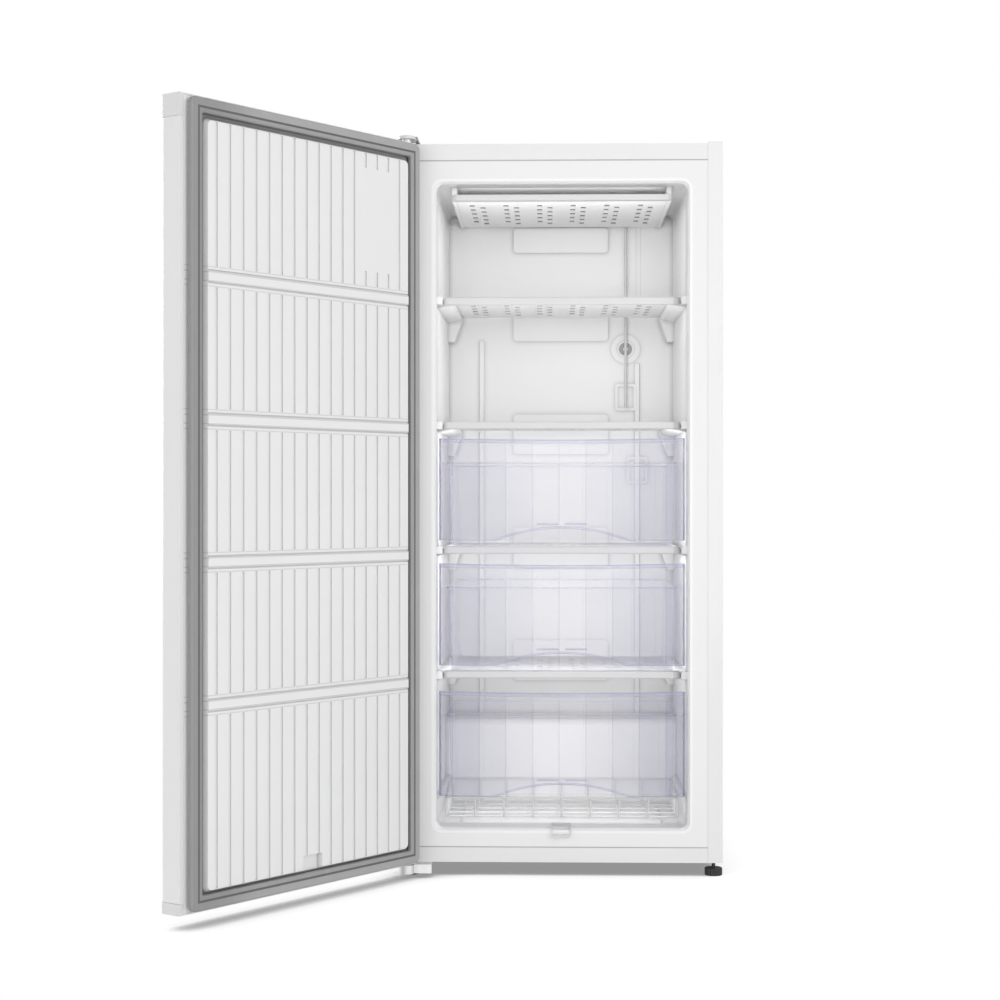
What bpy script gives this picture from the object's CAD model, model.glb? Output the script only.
import math

import bpy
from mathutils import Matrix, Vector


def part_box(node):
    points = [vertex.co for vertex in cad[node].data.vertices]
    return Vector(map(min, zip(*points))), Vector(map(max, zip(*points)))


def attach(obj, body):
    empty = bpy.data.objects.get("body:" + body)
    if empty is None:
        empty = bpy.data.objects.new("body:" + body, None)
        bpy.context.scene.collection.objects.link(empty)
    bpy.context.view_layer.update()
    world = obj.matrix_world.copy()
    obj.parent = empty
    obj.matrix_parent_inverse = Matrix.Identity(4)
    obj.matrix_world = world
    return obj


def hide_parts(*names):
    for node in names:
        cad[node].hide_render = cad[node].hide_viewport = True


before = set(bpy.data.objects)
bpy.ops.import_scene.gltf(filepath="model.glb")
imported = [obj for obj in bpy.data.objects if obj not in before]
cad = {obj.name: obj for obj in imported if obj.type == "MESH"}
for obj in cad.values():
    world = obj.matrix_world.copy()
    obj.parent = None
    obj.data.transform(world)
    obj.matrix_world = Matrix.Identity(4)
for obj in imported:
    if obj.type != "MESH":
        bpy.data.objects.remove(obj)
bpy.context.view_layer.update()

# ------------------------------------------------------------------ viewpoint
# The photograph is taken from well in front, at half the freezer's height and level,
# with a long lens that looks a little to the left of straight ahead.
def placed(name, data):
    """A new object in the scene."""
    made = bpy.data.objects.new(name, data)
    bpy.context.scene.collection.objects.link(made)
    return made


camera = placed("camera", bpy.data.cameras.new("camera"))
camera.location = (0.15769, -3.73471, 0.70208)
camera.rotation_euler = (math.radians(90), 0, math.radians(1.463))
camera.data.sensor_width = 36
camera.data.lens = 71.84
camera.data.clip_end = 60
bpy.context.scene.camera = camera
bpy.context.scene.view_settings.view_transform = "Standard"


# ------------------------------------------------------------------ studio
# A white floor in a white surround, broad soft lamps in front, at both sides and behind, and
# flat ones in the cavity's mouth.  They only light the freezer and aren't part of it.
def srgb(red, green, blue):
    """A colour given as it is seen on a screen, from 0 to 255."""
    parts = [c / 255 for c in (red, green, blue)]
    return tuple(c / 12.92 if c <= 0.04045 else ((c + 0.055) / 1.055) ** 2.4 for c in parts) + (1,)


def grey(level):
    return srgb(level, level, level)


class Flow:
    """A socket of a finish, so that the shader maths reads as plain sums."""

    def __init__(self, finish, socket):
        self.finish, self.socket = finish, socket

    def sum(self, operation, first, second=0.0):
        return self.finish.node("ShaderNodeMath", {"operation": operation}, {0: first, 1: second})

    def __add__(self, other):
        return self.sum("ADD", self, other)

    __radd__ = __add__

    def __sub__(self, other):
        return self.sum("SUBTRACT", self, other)

    def __rsub__(self, other):
        return self.sum("SUBTRACT", other, self)

    def __mul__(self, other):
        return self.sum("MULTIPLY", self, other)

    __rmul__ = __mul__

    def __truediv__(self, other):
        return self.sum("DIVIDE", self, other)

    def __pow__(self, other):
        return self.sum("POWER", self, other)

    def __gt__(self, other):
        return self.sum("GREATER_THAN", self, other)

    def __lt__(self, other):
        return self.sum("LESS_THAN", self, other)

    def least(self, other):
        return self.sum("MINIMUM", self, other)

    def most(self, other):
        return self.sum("MAXIMUM", self, other)

    def size(self):
        return self.sum("ABSOLUTE", self)

    def floor(self):
        return self.sum("FLOOR", self)

    def rise(self, start, end):
        """From 0 at start to 1 at end, softly."""
        settings = {"interpolation_type": "SMOOTHSTEP"}
        return self.finish.node("ShaderNodeMapRange", settings, {0: self, 1: start, 2: end})


class Nodes:
    """A node tree, with one way to add a node."""

    def __init__(self, tree):
        self.tree = tree
        self.tree.nodes.clear()

    def put(self, socket, value):
        if isinstance(value, Flow):
            self.tree.links.new(value.socket, socket)
        else:
            socket.default_value = value

    def node(self, kind, settings=None, inputs=None, out=0):
        made = self.tree.nodes.new(kind)
        for key, value in (settings or {}).items():
            setattr(made, key, value)
        for key, value in (inputs or {}).items():
            self.put(made.inputs[key], value)
        return Flow(self, made.outputs[out]) if made.outputs else made

    def seen(self):
        """1 where the camera looks, straight or by a reflection, and 0 where only light goes."""
        straight = self.node("ShaderNodeLightPath", out="Is Camera Ray")
        shine = self.node("ShaderNodeLightPath", out="Is Glossy Ray")
        through = self.node("ShaderNodeLightPath", out="Is Transmission Ray")
        return straight.most(shine).most(through)


class Finish(Nodes):
    """The surface finish of one or more pieces, built up node by node."""

    def __init__(self, name, **sockets):
        self.material = bpy.data.materials.new(name)
        self.material.use_nodes = True
        super().__init__(self.material.node_tree)
        self.shader = self.node("ShaderNodeBsdfPrincipled")
        self.output = self.node("ShaderNodeOutputMaterial", {}, {0: self.shader})
        for socket, value in sockets.items():
            self.set(socket.replace("_", " "), value)

    def set(self, name, value):
        self.put(self.shader.socket.node.inputs[name], value)

    def place(self):
        """Position on the object, in metres."""
        return self.node("ShaderNodeTexCoord", out="Object")

    def axes(self):
        """The position's three parts."""
        apart = self.node("ShaderNodeSeparateXYZ", {}, {0: self.place()})
        return [Flow(self, apart.socket.node.outputs[i]) for i in range(3)]

    def grain(self, scale, detail=3.0, rough=0.5):
        """Even noise from 0 to 1."""
        inputs = {"Vector": self.place(), "Scale": scale, "Detail": detail, "Roughness": rough}
        return self.node("ShaderNodeTexNoise", {}, inputs)

    def openness(self, reach, alone=True):
        """1 on open surface, falling towards 0 in an inner corner or a groove."""
        settings = {"only_local": alone, "samples": 8}
        return self.node("ShaderNodeAmbientOcclusion", settings, {"Distance": reach}, "AO")

    def shade(self, factor, first, second):
        """A colour between two, by a factor from 0 to 1."""
        inputs = {0: factor, 6: first, 7: second}
        return self.node("ShaderNodeMix", {"data_type": "RGBA"}, inputs, 2)

    def bump(self, height, distance, strength=1.0):
        inputs = {"Height": height, "Distance": distance, "Strength": strength}
        self.set("Normal", self.node("ShaderNodeBump", {}, inputs))

    def cover(self, *nodes):
        """Give CAD nodes this finish."""
        for name in nodes:
            mesh = cad[name].data
            mesh.materials.clear()
            mesh.materials.append(self.material)


FLOOR_SIDE, FLOOR_FRONT, FLOOR_BACK = 30, -12, 45
SHADOW_REACH = 0.12
FLOOR_PLAN = [(-FLOOR_SIDE, FLOOR_FRONT), (FLOOR_SIDE, FLOOR_FRONT)]
FLOOR_PLAN += [(FLOOR_SIDE, FLOOR_BACK), (-FLOOR_SIDE, FLOOR_BACK)]
floor_mesh = bpy.data.meshes.new("studio_floor")
floor_mesh.from_pydata([(x, y, 0) for x, y in FLOOR_PLAN], [], [(0, 1, 2, 3)])
studio_floor = placed("studio_floor", floor_mesh)
floor_paint = Finish("studio_floor", Base_Color=(0.86, 0.86, 0.86, 1), Roughness=0.9)
floor_paint.set("Specular IOR Level", 0.1)
under = floor_paint.openness(SHADOW_REACH, alone=False).rise(0.26, 0.60)
shadow = floor_paint.node("ShaderNodeEmission", {}, {"Color": grey(148)})
white = floor_paint.node("ShaderNodeEmission", {}, {"Color": grey(255)})
lit = floor_paint.node("ShaderNodeMixShader", {}, {0: under, 1: shadow, 2: white})
inputs = {0: floor_paint.seen(), 1: floor_paint.shader, 2: lit}
shown = floor_paint.node("ShaderNodeMixShader", {}, inputs)
floor_paint.put(floor_paint.output.inputs[0], shown)
floor_mesh.materials.append(floor_paint.material)

world = bpy.data.worlds.new("surround")
bpy.context.scene.world = world
world.use_nodes = True
sky = Nodes(world.node_tree)
sky_dim = sky.node("ShaderNodeBackground", {}, {"Color": grey(255), "Strength": 0.55})
sky_white = sky.node("ShaderNodeBackground", {}, {"Color": grey(255), "Strength": 1.0})
sky_mix = sky.node("ShaderNodeMixShader", {}, {0: sky.seen(), 1: sky_dim, 2: sky_white})
sky.node("ShaderNodeOutputWorld", {}, {0: sky_mix})


MIDDLE = 0.1779513
FILL_DEPTH = 0.0455


def lamp(name, place, aim, size, power):
    """A square soft lamp turned towards a point."""
    light = bpy.data.lights.new(name, "AREA")
    light.shape = "SQUARE"
    light.size, light.energy = size, power
    holder = placed(name, light)
    holder.location = place
    holder.rotation_euler = (Vector(aim) - Vector(place)).to_track_quat("-Z", "Y").to_euler()
    holder.visible_camera = False
    return light


def fill(name, height, width, tall, power, lift=0.0):
    """A flat lamp in the cavity's mouth that lights the back, aimed upwards by lift per metre."""
    place, aim = (MIDDLE, FILL_DEPTH, height), (MIDDLE, FILL_DEPTH + 1, height + lift)
    light = lamp(name, place, aim, width, power)
    light.shape, light.size_y = "RECTANGLE", tall


lamp("front_lamp", (0.4, -6.2, 0.9), (0.1, 0.0, 0.7), 3.0, 76)
lamp("near_left_lamp", (-2.6, -4.8, 0.9), (0.2, 0.0, 0.7), 2.6, 46)
lamp("right_lamp", (3.6, -2.8, 1.4), (-0.2, -0.2, 0.7), 2.6, 58)
lamp("left_lamp", (-3.4, 2.4, 1.8), (-0.2, -0.2, 0.7), 2.6, 140)
fill("cavity_fill", 0.690, 0.42, 1.17, 1.0)
fill("crown_fill", 1.235, 0.44, 0.04, 0.025, 0.6)
fill("upper_fill", 1.170, 0.42, 0.14, 0.04)
fill("shelf_fill", 0.990, 0.42, 0.05, 0.075, 3.0)
fill("drawer_fill", 0.615, 0.42, 0.44, 1.7)
fill("low_fill", 0.270, 0.42, 0.18, 0.09)
fill("basket_fill", 0.140, 0.42, 0.07, 0.07)
fill("ceiling_fill", 1.2835, 0.38, 0.010, 0.03)

# ------------------------------------------------------------------ steel skins
# Sheet steel with white enamel, sprayed and baked: a hard satin gloss with a very fine
# orange peel, a little duller where hands and cleaning have been.
SHUT_LINES = (0.0534, 1.3367)
STRIP_HALF = 0.2725


def shut_line(x, y, z):
    """Dirt in the two joints across the front, above and below the opening."""
    low, high = SHUT_LINES
    nearest = (z - low).size().least((z - high).size())
    return nearest.rise(0.0013, 0.0007) * (y < 0.0) * ((x - MIDDLE).size() < STRIP_HALF)


enamel = Finish("white_enamel", Coat_Weight=0.25, Coat_Roughness=0.12)
cloud = enamel.grain(5, 4)
coat = enamel.shade(cloud, grey(224), grey(230))
enamel.set("Base Color", enamel.shade(shut_line(*enamel.axes()), coat, grey(178)))
enamel.set("Roughness", 0.34 + 0.10 * enamel.grain(14, 3))
enamel.bump(enamel.grain(900, 2), 0.00006, 0.35)
enamel.cover("side_panel_left", "side_panel_right", "top_panel", "bottom_rail", "door_skin")

galvanised = Finish("galvanised_sheet", Metallic=1.0)
inputs = {"Vector": galvanised.place(), "Scale": 55.0}
spangle = galvanised.node("ShaderNodeTexVoronoi", {}, inputs, "Color")
flake = galvanised.node("ShaderNodeSeparateXYZ", {}, {0: spangle})
galvanised.set("Base Color", galvanised.shade(flake, srgb(168, 172, 176), srgb(206, 209, 212)))
galvanised.set("Roughness", 0.32 + 0.18 * flake)
galvanised.bump(galvanised.grain(160, 2), 0.0001, 0.3)
galvanised.cover("back_panel", "base_panel", "bay_pan", "condenser_brackets")

# ------------------------------------------------------------------ insulation
# Rigid foam poured between the skins; it only shows at the unlined edges, and is dark
# with dirt in the joints of the front.
CABINET_LEFT, JOINT_DEPTH = -0.118, 0.012
foam = Finish("rigid_foam", Roughness=0.9)
cells = foam.node("ShaderNodeTexVoronoi", {}, {"Vector": foam.place(), "Scale": 700.0})
x, y, z = foam.axes()
joint = (x > CABINET_LEFT) * (y < JOINT_DEPTH)
cream = foam.shade(foam.grain(30, 4), srgb(226, 211, 164), srgb(243, 231, 193))
foam.set("Base Color", foam.shade(joint, cream, grey(60)))
foam.bump(cells, 0.0005, 0.6)
foam.cover("cabinet_foam", "door_foam")

# ------------------------------------------------------------------ cabinet liner
# One sheet of white plastic drawn over a mould: cavity walls, side ledges, pads on the
# rear wall and pipe ducts all in one, with a soft satin skin and a polished rolled mouth.
MOUTH_HALF, MOUTH_LOW, MOUTH_HIGH, MOUTH_ROUND = 0.239, 0.0845, 1.298, 0.015
ROLL_START, ROLL_END = 0.0040, 0.0055
RIB_MIDDLE, RIB_HALF, RIB_LOW, RIB_DEPTH = 0.3392, 0.0048, 1.105, 0.3
lining = Finish("liner_sheet")
x, y, z = lining.axes()
tall_half = (MOUTH_HIGH - MOUTH_LOW) / 2
out_x = ((x - MIDDLE).size() - (MOUTH_HALF - MOUTH_ROUND)).most(0.0)
out_z = ((z - (MOUTH_LOW + tall_half)).size() - (tall_half - MOUTH_ROUND)).most(0.0)
beyond = ((out_x * out_x + out_z * out_z) ** 0.5 - MOUTH_ROUND).rise(ROLL_START, ROLL_END)
rolled = (1 - beyond) * (y < 0.0)
flange = beyond * (y < 0.0)
sheet = lining.shade(lining.grain(3, 3), grey(238), grey(243))
sheet = lining.shade(flange, sheet, grey(232))
sheet = lining.shade(rolled, sheet, grey(240))
sheet = lining.shade(shut_line(x, y, z), sheet, grey(178))
rib = ((x - RIB_MIDDLE).size() - RIB_HALF).size().rise(0.0010, 0.0004)
rib = rib * (z > RIB_LOW) * (y > RIB_DEPTH)
sheet = lining.shade(rib * 0.4, sheet, grey(190))
corner = lining.openness(0.010) ** 1.2
lining.set("Base Color", lining.shade(corner, grey(186), sheet))
lining.set("Roughness", 0.36 + 0.08 * lining.grain(9, 3) - 0.1 * rolled)
lining.bump(lining.grain(600, 2), 0.00008, 0.25)
lining.cover("cabinet_liner")

# ------------------------------------------------------------------ evaporator plates
# Slotted aluminium plates with white lacquer, cold to the touch and slightly frosted.  A
# bare dark sheet inside each closes its slots and the air gap along its back edge.
PLATES = ("ceiling_evaporator", *[f"evaporator_shelf_{i}" for i in range(1, 5)])
CORE_HEIGHT, CORE_SIDE, CORE_FRONT, CORE_BACK = 0.0017, 0.012, 0.020, 0.011
GAP_HALF, GAP_BACK, GAP_START = 0.148, 0.001, 0.4
lacquer = Finish("white_lacquer")
frost = lacquer.grain(28, 5)
coat = lacquer.shade(frost, grey(242), grey(248))
edge = lacquer.openness(0.008, alone=False)
lacquer.set("Base Color", lacquer.shade(edge, grey(178), coat))
lacquer.set("Roughness", 0.35 + 0.25 * frost)
lacquer.bump(lacquer.grain(420, 3), 0.0001, 0.35)
lacquer.cover(*PLATES)

core = Finish("bare_core", Metallic=0.2)
x, y, z = core.axes()
sooty = core.shade(core.grain(80, 4), grey(96), grey(112))
core.set("Base Color", core.shade(y > GAP_START, sooty, grey(24)))
core.set("Roughness", 0.5 + 0.2 * core.grain(60, 3))
for node in PLATES:
    (left, near, low), (right, far, high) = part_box(node)
    plans = [(right - MIDDLE - CORE_SIDE, near + CORE_FRONT, far - CORE_BACK)]
    plans.append((GAP_HALF, far - CORE_BACK, far - GAP_BACK))
    points = []
    for half, start, end in plans:
        plan = [(-half, start), (half, start), (half, end), (-half, end)]
        points += [(MIDDLE + x, y, low + CORE_HEIGHT) for x, y in plan]
    mesh = bpy.data.meshes.new(f"{node}_core")
    mesh.from_pydata(points, [], [(0, 1, 2, 3), (4, 5, 6, 7)])
    mesh.materials.append(core.material)
    sheet = placed(f"{node}_core", mesh)
    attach(sheet, "cabinet")

# ------------------------------------------------------------------ moulded white trims
# Injection-moulded plastic: shelf fronts, the door's end caps, the hinge cover and the
# pull recess, with a fine spark-eroded grain.
END_CAP = (0.2085, 0.2115)
moulding = Finish("white_moulding")
x, y, z = moulding.axes()
ivory = moulding.shade(moulding.grain(8, 3), grey(215), grey(221))
end_cap = (x - MIDDLE).rise(*END_CAP)
moulding.set("Base Color", moulding.shade(end_cap * 0.6, ivory, grey(178)))
moulding.set("Roughness", 0.42 + 0.10 * moulding.grain(20, 3))
moulding.bump(moulding.grain(1500, 2), 0.00005, 0.4)
moulding.cover("ceiling_trim", "top_hinge_cover", "door_grip", "door_top_cap", "door_bottom_cap")
moulding.cover(*[f"shelf_trim_{i}" for i in range(1, 5)])

# ------------------------------------------------------------------ drawers
# Clear polystyrene with a faint violet cast that gathers where a wall is seen along its
# length.  Each is a bowed front, moulded in flat facets 50 mm wide, on a thin-walled tray.
FACET, FACET_SHIFT = 0.050, 0.1
FRONT_HALF = 0.2305
FRONT_BOW = 0.005
FRONT_INSET, FRONT_ROUND = 0.0008, 0.005
EDGE_DIP = 0.003
BEAD, EDGE = 0.007, 0.0012
BEAD_PROUD, BEAD_EDGE_PROUD, FOOT_PROUD = 0.0008, 0.0011, 0.0004
SIDE_EDGE, SIDE_PROUD = 0.0045, 0.0003
ARCH_HALF, ARCH_RISE, ARCH_DEPTH = 0.121, 0.0225, 0.0125
ARCH_LIP, ARCH_EDGE = 0.0026, 0.0010
GRIP_BARS = ((-0.0470, -0.0060), (0.0060, 0.0470))
BAR_GAP, BAR_HEIGHT, BAR_EDGE, BAR_PROUD, BAR_EDGE_PROUD = 0.007, 0.0035, 0.0008, 0.0008, 0.001
TRAY_HALF, TRAY_TAPER, TRAY_LIP, TRAY_LIP_HEIGHT = 0.212, 0.004, 0.004, 0.003
TRAY_INSET, TRAY_ROUND, TRAY_CHAMFER = 0.0013, 0.005, 0.0015
WING_HALF, WING_LOW = 0.2302, 0.005


def clear_plastic(name, body, grazing, first, second):
    """See-through moulded plastic, stronger on walls that are seen at a slant."""
    clear = Finish(name, IOR=1.49)
    steep = clear.node("ShaderNodeLayerWeight", {}, {"Blend": 0.5}, "Facing")
    x, y, z = clear.axes()
    cell = (x - MIDDLE) / FACET + FACET_SHIFT
    facet = cell.floor()
    outward = (((facet + 0.5 - FACET_SHIFT) * FACET).size() / FRONT_HALF).least(1.0)
    seam = 1 - (cell - facet - 0.5).size().rise(0.484, 0.478)
    tone = clear.shade(outward, first, second)
    clear.set("Base Color", clear.shade(seam * 0.5, tone, srgb(150, 149, 182)))
    clear.set("Roughness", 0.10 + 0.10 * clear.grain(12, 3))
    clear.bump(clear.grain(300, 2), 0.00006, 0.3)
    strength = body * (0.75 + 0.5 * outward) + seam * 0.08 + grazing * steep ** 2.5
    clear.set("Alpha", strength.least(1.0))
    return clear


front_plastic = clear_plastic("clear_front", 0.30, 0.30, srgb(232, 231, 240), srgb(142, 141, 166))
tray_plastic = clear_plastic("clear_tray", 0.07, 0.35, srgb(222, 221, 232), srgb(190, 189, 210))
edge_plastic = Finish("clear_edge", IOR=1.49, Alpha=0.62)
cloud = edge_plastic.grain(40, 2)
edge_plastic.set("Base Color", edge_plastic.shade(cloud, srgb(158, 157, 196), srgb(172, 171, 208)))
edge_plastic.set("Roughness", 0.12 + 0.06 * edge_plastic.grain(90, 2))
bead_plastic = Finish("clear_bead", IOR=1.49, Alpha=0.34)
cloud = bead_plastic.grain(40, 2)
bead_plastic.set("Base Color", bead_plastic.shade(cloud, srgb(176, 175, 210), srgb(188, 187, 218)))
bead_plastic.set("Roughness", 0.12 + 0.06 * bead_plastic.grain(90, 2))


def ruled(name, finishes, strips):
    """A mesh of strips, each spanned between two lines of equally many points."""
    points, faces, marks = [], [], []
    for finish, first, second in strips:
        start, count = len(points), len(first)
        points += [*first, *second]
        for i in range(count - 1):
            faces.append((start + i, start + i + 1, start + count + i + 1, start + count + i))
            marks.append(finishes.index(finish))
    mesh = bpy.data.meshes.new(name)
    mesh.from_pydata(points, [], faces)
    mesh.polygons.foreach_set("material_index", marks)
    for finish in finishes:
        mesh.materials.append(finish.material)
    return placed(name, mesh)


def across(half, count):
    return [half * (2 * i / (count - 1) - 1) for i in range(count)]


def arch(x):
    """Height of the finger grip's arch above the front's lower edge."""
    if abs(x) >= ARCH_HALF:
        return 0.0
    radius = (ARCH_HALF ** 2 + ARCH_RISE ** 2) / (2 * ARCH_RISE)
    return math.sqrt(radius ** 2 - x ** 2) - (radius - ARCH_RISE)


def raised(height, by):
    """The line of a height that varies along the front, moved up."""
    return lambda x: height(x) + by


def drawer_front(number):
    node = f"drawer_{number}_front"
    (_, near, low), (_, far, high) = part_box(node)
    near += FRONT_INSET
    strips = []

    def nose(x):
        """The front's face, bowed, with its ends turned in."""
        turn = max(0.0, abs(x) - FRONT_HALF + FRONT_ROUND)
        turned_in = FRONT_ROUND - math.sqrt(max(0.0, FRONT_ROUND ** 2 - turn ** 2))
        return near + FRONT_BOW * (x / FRONT_HALF) ** 2 + turned_in

    def flat(x):
        return low

    def foot(x):
        return low + arch(x)

    def crest(x):
        return high - EDGE_DIP * (1 - (x / FRONT_HALF) ** 2)

    def line(xs, height, proud=0.0, y=None):
        return [(MIDDLE + x, nose(x) - proud if y is None else y, height(x)) for x in xs]

    def ribbon(finish, xs, first, second, proud=0.0):
        """A strip along the face between two heights."""
        strips.append((finish, line(xs, first, proud), line(xs, second, proud)))

    def shelf(finish, xs, height, y):
        """A strip from the face to a depth."""
        strips.append((finish, line(xs, height), line(xs, height, y=y)))

    steps = [math.radians(15 * i) for i in range(1, 7)]
    ends = [FRONT_HALF - FRONT_ROUND + FRONT_ROUND * math.sin(step) for step in steps]
    xs = [-x for x in reversed(ends)] + across(FRONT_HALF - FRONT_ROUND, 93) + ends
    ribbon(front_plastic, xs, foot, crest)

    under_bead = raised(crest, -BEAD)
    ribbon(bead_plastic, xs, under_bead, crest, BEAD_PROUD)
    ribbon(edge_plastic, xs, raised(crest, -EDGE), crest, BEAD_EDGE_PROUD)
    fold = raised(under_bead, -EDGE / 2)
    ribbon(bead_plastic, xs, fold, raised(under_bead, EDGE / 2), BEAD_EDGE_PROUD)
    shelf(bead_plastic, xs, crest, far)
    ribbon(edge_plastic, xs, foot, raised(foot, EDGE), FOOT_PROUD)

    def outer(x):
        return low + arch(x * ARCH_HALF / (ARCH_HALF + ARCH_LIP)) + ARCH_LIP

    arc, wide = across(ARCH_HALF, 41), across(ARCH_HALF + ARCH_LIP, 45)
    inner = near + ARCH_DEPTH
    ribbon(edge_plastic, wide, outer, raised(outer, ARCH_EDGE), FOOT_PROUD)
    shelf(bead_plastic, arc, foot, inner)
    strips.append((tray_plastic, line(arc, flat, y=inner), line(arc, foot, y=inner)))

    for side in (-1, 1):
        rim = [side * (FRONT_HALF - SIDE_EDGE), side * FRONT_HALF]
        ribbon(edge_plastic, rim, flat, crest, SIDE_PROUD)
        end = MIDDLE + side * FRONT_HALF
        end_low, end_high = [[(end, y, z) for y in (nose(FRONT_HALF), far)] for z in (low, high)]
        strips.append((bead_plastic, end_low, end_high))
        shelf(bead_plastic, [x for x in xs if side * x >= ARCH_HALF], flat, far)

    for left, right in GRIP_BARS:
        run = [left, (left + right) / 2, right]
        bar = raised(flat, ARCH_RISE + BAR_GAP)
        ribbon(bead_plastic, run, bar, raised(bar, BAR_HEIGHT), BAR_PROUD)
        ribbon(edge_plastic, run, bar, raised(bar, BAR_EDGE), BAR_EDGE_PROUD)
    finishes = [front_plastic, bead_plastic, edge_plastic, tray_plastic]
    piece = ruled(f"{node}_sheet", finishes, strips)
    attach(piece, f"drawer_{number}")
    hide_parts(node)


def drawer_tray(number):
    node = f"drawer_{number}_tray"
    (_, near, low), (_, far, high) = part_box(node)
    front, back = near + TRAY_INSET, far - TRAY_LIP

    def ring(level, grow=0.0):
        """The tray's outline at a level from 0 at its floor to 1 at its rim."""
        draft = TRAY_TAPER * (1 - level)
        side, rear, z = TRAY_HALF - draft + grow, back - draft + grow, low + (high - low) * level
        plan = [(-side, front), (-side, rear - TRAY_ROUND)]
        plan += [(-side + TRAY_CHAMFER, rear - TRAY_CHAMFER), (-side + TRAY_ROUND, rear)]
        plan += [(-x, y) for x, y in reversed(plan)] + [(-side, front)]
        return [(MIDDLE + x, y, z) for x, y in plan]

    base, brim = ring(0.0), ring(1.0)
    flange = ring(1.0, TRAY_LIP)
    drop = [(x, y, z - TRAY_LIP_HEIGHT) for x, y, z in flange]
    strips = [(tray_plastic, base, brim), (tray_plastic, base[:4], base[7:3:-1])]
    strips += [(bead_plastic, brim, flange), (bead_plastic, flange, drop)]
    for side in (-1, 1):
        wing = [MIDDLE + side * TRAY_HALF, MIDDLE + side * WING_HALF]
        wing_low, wing_high = [[(x, near, z) for x in wing] for z in (low + WING_LOW, high)]
        strips.append((tray_plastic, wing_low, wing_high))
    piece = ruled(f"{node}_sheet", [tray_plastic, bead_plastic], strips)
    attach(piece, f"drawer_{number}")
    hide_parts(node)


for number in (1, 2, 3):
    drawer_front(number)
    drawer_tray(number)

# ------------------------------------------------------------------ wire basket
# Steel wire, welded and dipped in white plastic.
dipped = Finish("dipped_wire")
dipped.set("Base Color", dipped.shade(dipped.grain(60, 3), grey(208), grey(217)))
dipped.set("Roughness", 0.30 + 0.12 * dipped.grain(90, 3))
dipped.bump(dipped.grain(260, 3), 0.0002, 0.3)
dipped.cover("wire_basket", "basket_uprights", "basket_rim", "riser_pipe")

# ------------------------------------------------------------------ door liner
# The door's inner sheet, drawn over a fluted mould, a little whiter than the cavity.
BAND_FIRST, BAND_PITCH = 1.0690, 0.2346
BAND_INSIDE, BAND_OUTSIDE = 0.0072, 0.0160
door_sheet = Finish("door_liner_sheet")
skin = door_sheet.shade(door_sheet.grain(3, 3), grey(229), grey(234))
x, y, z = door_sheet.axes()
band = ((z - BAND_FIRST) / BAND_PITCH + 0.5).floor() * BAND_PITCH + BAND_FIRST
apart = (z - band).size()
outside = (apart - BAND_OUTSIDE).size().rise(0.0014, 0.0005)
inside = (apart - BAND_INSIDE).size().rise(0.0014, 0.0005)
line = outside * 0.5 + inside * 0.6
line = line * (z < BAND_FIRST + BAND_PITCH / 2) * (z > BAND_FIRST - 3.5 * BAND_PITCH)
skin = door_sheet.shade(line, skin, grey(188))
groove = door_sheet.openness(0.006) ** 1.1
door_sheet.set("Base Color", door_sheet.shade(groove, grey(176), skin))
door_sheet.set("Roughness", 0.38 + 0.08 * door_sheet.grain(9, 3))
door_sheet.bump(door_sheet.grain(600, 2), 0.00008, 0.25)
door_sheet.cover("door_liner")

# ------------------------------------------------------------------ seal and grommet
# Soft grey extrusion with a magnet strip inside, welded at its mitred corners, with a fine
# groove all round; greyer on the side where the door is pulled.
HINGE_X, HINGE_Y, HINGE_FROM_MIDDLE = -0.1100487, -0.0324748, 0.288
DOOR_X, DOOR_Y = -0.5878, -0.8090
SEAL_MIDDLE, SEAL_HALF, SEAL_HEIGHT, SEAL_TALL_HALF = -0.0047, 0.2892, 0.6955, 0.66415
SEAL_GROOVE, GROOVE_HALF = 0.0155, (0.0026, 0.0012)
seal = Finish("grey_seal")
fold = seal.openness(0.010) ** 1.5
x, y, z = seal.axes()
along = (x - HINGE_X) * DOOR_X + (y - HINGE_Y) * DOOR_Y - HINGE_FROM_MIDDLE
deep = ((along - SEAL_MIDDLE).size() - SEAL_HALF).most((z - SEAL_HEIGHT).size() - SEAL_TALL_HALF)
soft = seal.shade(seal.grain(25, 4), grey(160), grey(170))
soft = seal.shade(along.rise(0.10, 0.26) * 0.55, soft, grey(124))
soft = seal.shade((deep < -SEAL_GROOVE) * 0.35, soft, grey(132))
soft = seal.shade((deep + SEAL_GROOVE).size().rise(*GROOVE_HALF), soft, grey(92))
seal.set("Base Color", seal.shade(fold, grey(112), soft))
seal.set("Roughness", 0.55 + 0.12 * seal.grain(40, 3))
seal.bump(seal.grain(800, 2), 0.00006, 0.4)
seal.cover("door_gasket", "port_grommet")

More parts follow.
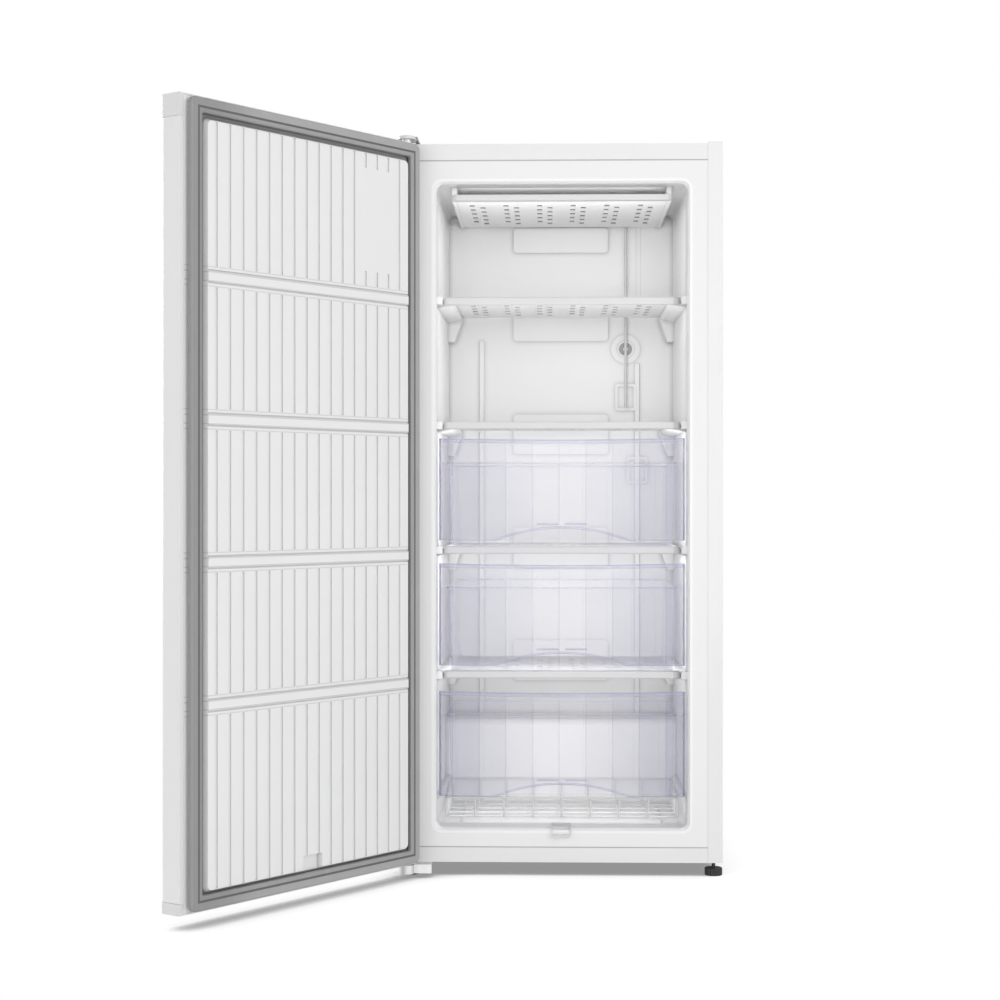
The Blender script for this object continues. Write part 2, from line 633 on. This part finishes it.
# ------------------------------------------------------------------ drain spout
# Small pale translucent trough.
trough = Finish("grey_trough", Alpha=0.85)
milky = trough.shade(trough.grain(60, 3), srgb(214, 214, 215), srgb(228, 228, 229))
trough.set("Base Color", milky)
trough.set("Roughness", 0.25 + 0.1 * trough.grain(80, 2))
trough.cover("drain_spout")

# ------------------------------------------------------------------ feet and black mouldings
# Black nylon, moulded with a fine grain, scuffed grey at the rims.
nylon = Finish("black_nylon")
scuff = nylon.grain(120, 5)
nylon.set("Base Color", nylon.shade(scuff ** 3, srgb(26, 26, 28), srgb(70, 70, 72)))
nylon.set("Roughness", 0.45 + 0.2 * scuff)
nylon.bump(nylon.grain(1300, 2), 0.00008, 0.5)
nylon.cover("front_foot_left", "front_foot_right", "rear_foot_left", "rear_foot_right")
nylon.cover("relay_cover", "upper_bush", "lower_bush", "rubber_mounts")

# ------------------------------------------------------------------ hinges
# Zinc-plated steel plates and pins.
zinc = Finish("zinc_plate", Metallic=1.0)
zinc.set("Base Color", zinc.shade(zinc.grain(90, 4), srgb(200, 200, 201), grey(222)))
zinc.set("Roughness", 0.42 + 0.2 * zinc.grain(200, 3))
zinc.bump(zinc.grain(500, 2), 0.0001, 0.3)
zinc.cover("top_hinge_bracket", "top_hinge_pin", "lower_hinge_bracket", "lower_hinge_pin")

# ------------------------------------------------------------------ cooling machine
# Black-enamelled compressor and condenser, copper lines and drier.
black = Finish("black_enamel")
black.set("Base Color", black.shade(black.grain(40, 4), srgb(22, 22, 24), srgb(38, 38, 41)))
black.set("Roughness", 0.35 + 0.2 * black.grain(60, 3))
black.bump(black.grain(700, 2), 0.0001, 0.4)
black.cover("compressor", "condenser_tube", "condenser_wires")

copper = Finish("drawn_copper", Metallic=1.0)
stain = copper.grain(70, 5)
copper.set("Base Color", copper.shade(stain, srgb(150, 92, 62), srgb(214, 142, 104)))
copper.set("Roughness", 0.25 + 0.25 * stain)
copper.bump(copper.grain(400, 2), 0.00008, 0.3)
copper.cover("filter_drier", "capillary", "suction_line")
